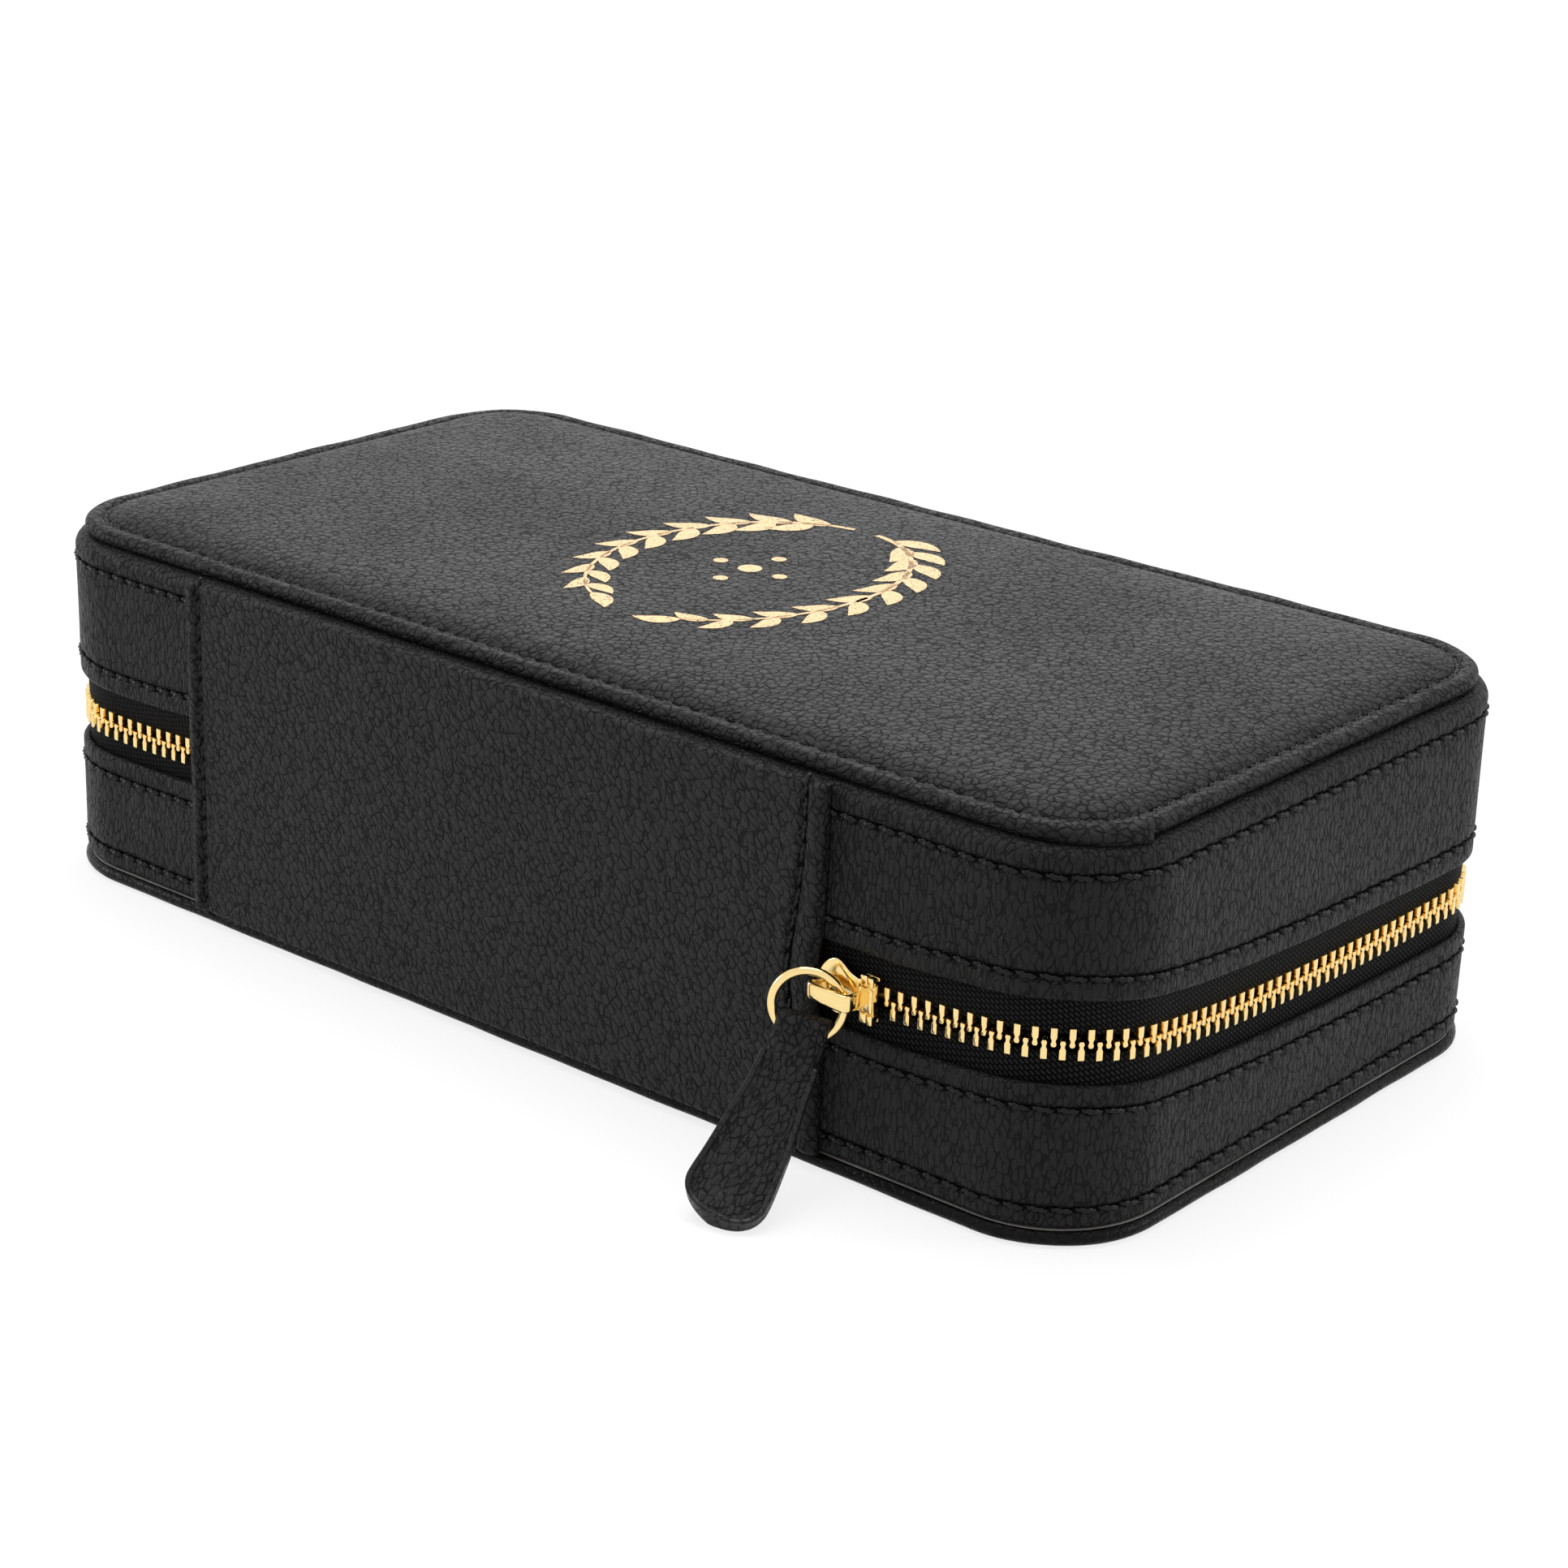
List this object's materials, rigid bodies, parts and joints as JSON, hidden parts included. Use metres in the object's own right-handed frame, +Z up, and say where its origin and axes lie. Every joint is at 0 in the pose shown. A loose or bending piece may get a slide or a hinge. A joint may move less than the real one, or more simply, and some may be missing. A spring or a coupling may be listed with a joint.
{
  "type": "jewellery case",
  "caption": "Rectangular zip-round jewellery case in black leather with a padded lid, a leather spine as its hinge, a gold zip with a leather pull, and a lined inside with ring rolls.",
  "frame": {"origin": "middle of the case's underside, on the table", "axes": "+X along the case, +Y to the spine that hinges the lid, +Z up"},
  "size_m": [0.2308, 0.1451, 0.0668],
  "materials": {
    "black_leather": "satin",
    "gold_metal": "polished",
    "zip_tape": "matte",
    "lining_velvet": "matte",
    "grey_board": "matte",
    "pad_foam": "matte",
    "mirror_glass": "polished"
  },
  "bodies": {
    "base": {"bottom_cover": "black_leather", "bottom_board": "grey_board", "base_wall_leather": "black_leather", "base_frame": "grey_board", "base_lining": "lining_velvet", "zip_tape_lower": "zip_tape", "zip_tape_closed_end": "zip_tape", "zip_teeth_upper_end": "gold_metal", "zip_stop": "gold_metal", "spine_lower": "black_leather", "spine_fold": "black_leather", "hinge_lining": "lining_velvet", "zip_teeth_lower": "gold_metal", "zip_teeth_lower_end": "gold_metal", "ring_section_divider": "lining_velvet", "long_divider": "lining_velvet", "cross_divider_1": "lining_velvet", "cross_divider_2": "lining_velvet", "ring_roll_1": "lining_velvet", "ring_roll_2": "lining_velvet", "ring_roll_3": "lining_velvet", "ring_roll_4": "lining_velvet", "ring_roll_5": "lining_velvet", "ring_roll_6": "lining_velvet"},
    "lid": {"lid_top_cover": "black_leather", "lid_foam_pad": "pad_foam", "lid_board": "grey_board", "lid_wall_leather": "black_leather", "lid_frame": "grey_board", "lid_lining": "lining_velvet", "spine_upper": "black_leather", "zip_tape_upper": "zip_tape", "mirror": "mirror_glass", "mirror_frame": "lining_velvet", "zip_teeth_upper": "gold_metal"},
    "slider": {"slider_body": "gold_metal", "slider_bridge": "gold_metal"},
    "ring": {"pull_ring": "gold_metal"},
    "tab": {"pull_tab": "black_leather"}
  },
  "joints": [
    {"name": "lid_hinge", "type": "hinge", "parent": "base", "child": "lid", "pos_m": [0.0028, 0.06271, 0.0313], "axis": [-1, 0, 0], "range_deg": [0, 95], "deforming": ["spine_fold", "hinge_lining"]},
    {"name": "slider_travel", "type": "slide", "parent": "base", "child": "slider", "axis": [-1, 0, 0], "range_m": [0, 0.016], "deforming": ["zip_teeth_upper_end", "zip_teeth_lower_end"]},
    {"name": "ring_swing", "type": "hinge", "parent": "slider", "child": "ring", "pos_m": [-0.0727, 0.06195, 0.03075], "axis": [1, 0, 0], "range_deg": [-3, 15]},
    {"name": "tab_turn", "type": "hinge", "parent": "ring", "child": "tab", "pos_m": [-0.0683, 0.0647, 0.02925], "axis": [0.5299, -0.848, 0], "range_deg": [-10, 22]}
  ]
}
